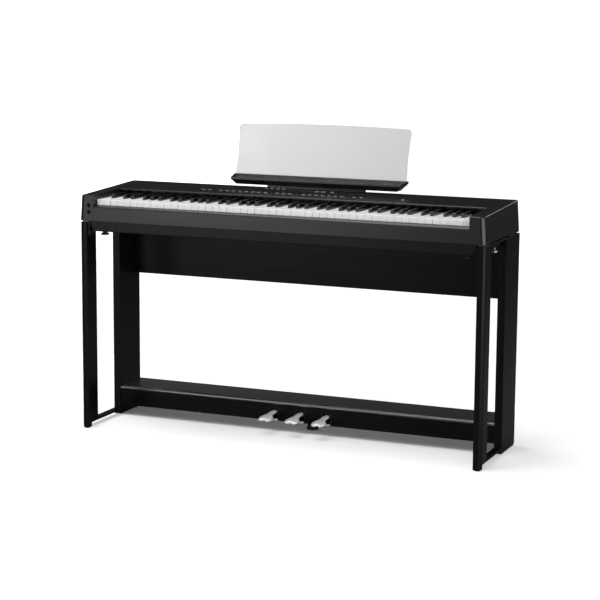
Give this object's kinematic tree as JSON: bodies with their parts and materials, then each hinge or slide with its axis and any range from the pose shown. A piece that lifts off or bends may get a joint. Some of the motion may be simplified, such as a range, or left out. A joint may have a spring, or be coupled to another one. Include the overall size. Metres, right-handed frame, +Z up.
{
  "type": "digital piano on stand",
  "caption": "Full-size digital piano: a slim black case with a keyboard, buttons and a clear music rest, on a fixed panel stand with pedals.",
  "frame": {"origin": "middle of the overall box, on the floor", "axes": "+X along the keyboard towards the high notes, +Y away from the player, +Z up"},
  "size_m": [1.328, 0.4078, 0.9666],
  "materials": {
    "black_case": "satin black case shell with a very fine grain",
    "black_panel": "satin black moulded panel",
    "black_laminate": "black laminate board with a fine grain",
    "white_key": "smooth white key plastic, soft gloss",
    "black_key": "matte black key plastic",
    "frame_plastic": "grey moulded key frame",
    "red_felt": "pressed wool felt",
    "zinc_steel": "zinc plated steel",
    "dark_steel": "dark plated steel",
    "black_screw": "black oxide steel",
    "nickel_pedal": "polished nickel plate",
    "black_rubber": "black rubber",
    "frosted_acrylic": "clear acrylic with a light frost",
    "display_glass": "dark display window",
    "circuit_board": "green circuit board",
    "button_grey": "dark grey moulded caps",
    "speaker_paper": "black pressed paper cone",
    "socket_plastic": "black moulded socket"
  },
  "bodies": {
    "root": {"upper_case": "black_case", "control_panel": "black_panel", "bottom_case": "black_case", "key_slip": "black_case", "key_felt": "red_felt", "key_frame": "frame_plastic", "key_pivot_rod": "zinc_steel", "display_window": "display_glass", "main_board": "circuit_board", "panel_board": "circuit_board", "speakers": "speaker_paper", "headphone_sockets": "socket_plastic", "rear_sockets": "socket_plastic", "left_side_frame": "black_laminate", "right_side_frame": "black_laminate", "back_panel": "black_laminate", "pedal_shelf": "black_laminate", "pedal_front_board": "black_laminate", "pedal_rear_board": "black_laminate", "pedal_base": "zinc_steel", "pedal_rod": "zinc_steel", "pedal_springs": "zinc_steel", "pedal_bezels": "socket_plastic", "floor_glides": "black_rubber", "case_pads": "black_rubber", "case_feet": "black_rubber", "frame_brackets": "zinc_steel", "panel_screws": "black_screw", "pedal_board_screws": "black_screw"},
    "music_rest": {"music_ledge": "black_case", "music_panel": "frosted_acrylic"},
    "key_c4": {"key_c4": "white_key"},
    "key_d4": {"key_d4": "white_key"},
    "key_e4": {"key_e4": "white_key"},
    "key_f4": {"key_f4": "white_key"},
    "key_g4": {"key_g4": "white_key"},
    "key_a4": {"key_a4": "white_key"},
    "key_b4": {"key_b4": "white_key"},
    "key_c_sharp4": {"key_c_sharp4": "black_key"},
    "key_d_sharp4": {"key_d_sharp4": "black_key"},
    "key_f_sharp4": {"key_f_sharp4": "black_key"},
    "key_g_sharp4": {"key_g_sharp4": "black_key"},
    "key_a_sharp4": {"key_a_sharp4": "black_key"},
    "white_keys_low": {"white_keys_low": "white_key"},
    "black_keys_low": {"black_keys_low": "black_key"},
    "white_keys_high": {"white_keys_high": "white_key"},
    "black_keys_high": {"black_keys_high": "black_key"},
    "left_pedal": {"left_pedal": "nickel_pedal"},
    "middle_pedal": {"middle_pedal": "nickel_pedal"},
    "right_pedal": {"right_pedal": "nickel_pedal"},
    "power_button": {"power_button": "button_grey"},
    "volume_buttons": {"volume_buttons": "button_grey"},
    "tone_buttons": {"tone_buttons": "button_grey"},
    "function_buttons": {"function_buttons": "button_grey"},
    "style_buttons": {"style_buttons": "button_grey"},
    "mode_buttons": {"mode_buttons": "button_grey"},
    "song_buttons": {"song_buttons": "button_grey"},
    "adjuster_foot": {"adjuster_foot": "black_rubber"},
    "left_thumb_screw": {"left_thumb_screw": "dark_steel"},
    "right_thumb_screw": {"right_thumb_screw": "dark_steel"}
  },
  "joints": [
    {"name": "key_c4_press", "type": "hinge", "parent": "root", "child": "key_c4", "pos_m": [0, 0.04394, 0.722], "axis": [1, 0, 0], "range_deg": [0, 2.5], "stiffness_Nm_per_rad": 0.6, "springref_deg": -11.46},
    {"name": "key_d4_press", "type": "hinge", "parent": "root", "child": "key_d4", "pos_m": [0, 0.04394, 0.722], "axis": [1, 0, 0], "range_deg": [0, 2.5], "stiffness_Nm_per_rad": 0.6, "springref_deg": -11.46},
    {"name": "key_e4_press", "type": "hinge", "parent": "root", "child": "key_e4", "pos_m": [0, 0.04394, 0.722], "axis": [1, 0, 0], "range_deg": [0, 2.5], "stiffness_Nm_per_rad": 0.6, "springref_deg": -11.46},
    {"name": "key_f4_press", "type": "hinge", "parent": "root", "child": "key_f4", "pos_m": [0, 0.04394, 0.722], "axis": [1, 0, 0], "range_deg": [0, 2.5], "stiffness_Nm_per_rad": 0.6, "springref_deg": -11.46},
    {"name": "key_g4_press", "type": "hinge", "parent": "root", "child": "key_g4", "pos_m": [0, 0.04394, 0.722], "axis": [1, 0, 0], "range_deg": [0, 2.5], "stiffness_Nm_per_rad": 0.6, "springref_deg": -11.46},
    {"name": "key_a4_press", "type": "hinge", "parent": "root", "child": "key_a4", "pos_m": [0, 0.04394, 0.722], "axis": [1, 0, 0], "range_deg": [0, 2.5], "stiffness_Nm_per_rad": 0.6, "springref_deg": -11.46},
    {"name": "key_b4_press", "type": "hinge", "parent": "root", "child": "key_b4", "pos_m": [0, 0.04394, 0.722], "axis": [1, 0, 0], "range_deg": [0, 2.5], "stiffness_Nm_per_rad": 0.6, "springref_deg": -11.46},
    {"name": "key_c_sharp4_press", "type": "hinge", "parent": "root", "child": "key_c_sharp4", "pos_m": [0, 0.04394, 0.722], "axis": [1, 0, 0], "range_deg": [0, 2.5], "stiffness_Nm_per_rad": 0.6, "springref_deg": -11.46},
    {"name": "key_d_sharp4_press", "type": "hinge", "parent": "root", "child": "key_d_sharp4", "pos_m": [0, 0.04394, 0.722], "axis": [1, 0, 0], "range_deg": [0, 2.5], "stiffness_Nm_per_rad": 0.6, "springref_deg": -11.46},
    {"name": "key_f_sharp4_press", "type": "hinge", "parent": "root", "child": "key_f_sharp4", "pos_m": [0, 0.04394, 0.722], "axis": [1, 0, 0], "range_deg": [0, 2.5], "stiffness_Nm_per_rad": 0.6, "springref_deg": -11.46},
    {"name": "key_g_sharp4_press", "type": "hinge", "parent": "root", "child": "key_g_sharp4", "pos_m": [0, 0.04394, 0.722], "axis": [1, 0, 0], "range_deg": [0, 2.5], "stiffness_Nm_per_rad": 0.6, "springref_deg": -11.46},
    {"name": "key_a_sharp4_press", "type": "hinge", "parent": "root", "child": "key_a_sharp4", "pos_m": [0, 0.04394, 0.722], "axis": [1, 0, 0], "range_deg": [0, 2.5], "stiffness_Nm_per_rad": 0.6, "springref_deg": -11.46},
    {"name": "white_keys_low_press", "type": "hinge", "parent": "root", "child": "white_keys_low", "pos_m": [0, 0.04394, 0.722], "axis": [1, 0, 0], "range_deg": [0, 2.5], "stiffness_Nm_per_rad": 13.8, "springref_deg": -11.46},
    {"name": "black_keys_low_press", "type": "hinge", "parent": "root", "child": "black_keys_low", "pos_m": [0, 0.04394, 0.722], "axis": [1, 0, 0], "range_deg": [0, 2.5], "stiffness_Nm_per_rad": 9.6, "springref_deg": -11.46},
    {"name": "white_keys_high_press", "type": "hinge", "parent": "root", "child": "white_keys_high", "pos_m": [0, 0.04394, 0.722], "axis": [1, 0, 0], "range_deg": [0, 2.5], "stiffness_Nm_per_rad": 13.2, "springref_deg": -11.46},
    {"name": "black_keys_high_press", "type": "hinge", "parent": "root", "child": "black_keys_high", "pos_m": [0, 0.04394, 0.722], "axis": [1, 0, 0], "range_deg": [0, 2.5], "stiffness_Nm_per_rad": 9, "springref_deg": -11.46},
    {"name": "left_pedal_press", "type": "hinge", "parent": "root", "child": "left_pedal", "pos_m": [-0.09, 0.07094, 0.0615], "axis": [1, 0, 0], "range_deg": [0, 6.5], "stiffness_Nm_per_rad": 5, "springref_deg": -8.59},
    {"name": "middle_pedal_press", "type": "hinge", "parent": "root", "child": "middle_pedal", "pos_m": [0, 0.07094, 0.0615], "axis": [1, 0, 0], "range_deg": [0, 6.5], "stiffness_Nm_per_rad": 5, "springref_deg": -8.59},
    {"name": "right_pedal_press", "type": "hinge", "parent": "root", "child": "right_pedal", "pos_m": [0.09, 0.07094, 0.0615], "axis": [1, 0, 0], "range_deg": [0, 6.5], "stiffness_Nm_per_rad": 5, "springref_deg": -8.59},
    {"name": "power_button_press", "type": "slide", "parent": "root", "child": "power_button", "axis": [0, 0.045, -0.999], "range_m": [0, 0.0012], "stiffness_N_per_m": 300, "springref_m": -0.002},
    {"name": "volume_buttons_press", "type": "slide", "parent": "root", "child": "volume_buttons", "axis": [0, 0.045, -0.999], "range_m": [0, 0.0012], "stiffness_N_per_m": 600, "springref_m": -0.002},
    {"name": "tone_buttons_press", "type": "slide", "parent": "root", "child": "tone_buttons", "axis": [0, 0.045, -0.999], "range_m": [0, 0.0012], "stiffness_N_per_m": 2400, "springref_m": -0.002},
    {"name": "function_buttons_press", "type": "slide", "parent": "root", "child": "function_buttons", "axis": [0, 0.045, -0.999], "range_m": [0, 0.0012], "stiffness_N_per_m": 900, "springref_m": -0.002},
    {"name": "style_buttons_press", "type": "slide", "parent": "root", "child": "style_buttons", "axis": [0, 0.045, -0.999], "range_m": [0, 0.0012], "stiffness_N_per_m": 2700, "springref_m": -0.002},
    {"name": "mode_buttons_press", "type": "slide", "parent": "root", "child": "mode_buttons", "axis": [0, 0.045, -0.999], "range_m": [0, 0.0012], "stiffness_N_per_m": 1200, "springref_m": -0.002},
    {"name": "song_buttons_press", "type": "slide", "parent": "root", "child": "song_buttons", "axis": [0, 0.045, -0.999], "range_m": [0, 0.0012], "stiffness_N_per_m": 900, "springref_m": -0.002},
    {"name": "music_rest_lift", "type": "slide", "parent": "root", "child": "music_rest", "axis": [0, 0, 1], "range_m": [0, 0.06]},
    {"name": "adjuster_foot_screw", "type": "slide", "parent": "root", "child": "adjuster_foot", "axis": [0, 0, 1], "range_m": [0, 0.006]},
    {"name": "left_thumb_screw_turn", "type": "hinge", "parent": "root", "child": "left_thumb_screw", "pos_m": [-0.65, -0.06806, 0.634], "axis": [0, 0, 1], "continuous": true},
    {"name": "right_thumb_screw_turn", "type": "hinge", "parent": "root", "child": "right_thumb_screw", "pos_m": [0.65, -0.06806, 0.634], "axis": [0, 0, 1], "continuous": true}
  ]
}
